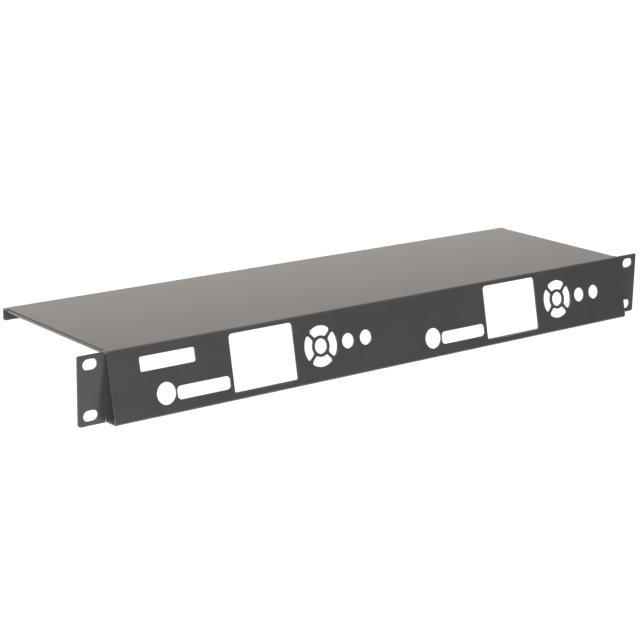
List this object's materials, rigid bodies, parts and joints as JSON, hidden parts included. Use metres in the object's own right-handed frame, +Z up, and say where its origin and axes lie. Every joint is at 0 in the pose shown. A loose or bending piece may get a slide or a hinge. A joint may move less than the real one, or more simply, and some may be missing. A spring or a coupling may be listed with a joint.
{
  "type": "rack shelf",
  "caption": "Rack shelf folded from a single steel sheet, with a flat hemmed plate, a rear lip, a leaning front panel with device cut-outs and slotted rack ears.",
  "frame": {"origin": "midway between the four rack slots, on the rear face of the ears, which meets the rack", "axes": "+X to the right along the panel, +Y to the rear, +Z up, as the shelf sits in a rack"},
  "size_m": [0.4826, 0.1356, 0.044],
  "materials": {
    "powder_coat": "smooth satin powder coat, dark grey, over the whole sheet and its cut edges"
  },
  "bodies": {
    "root": {"folded_shelf": "powder_coat"}
  },
  "joints": []
}
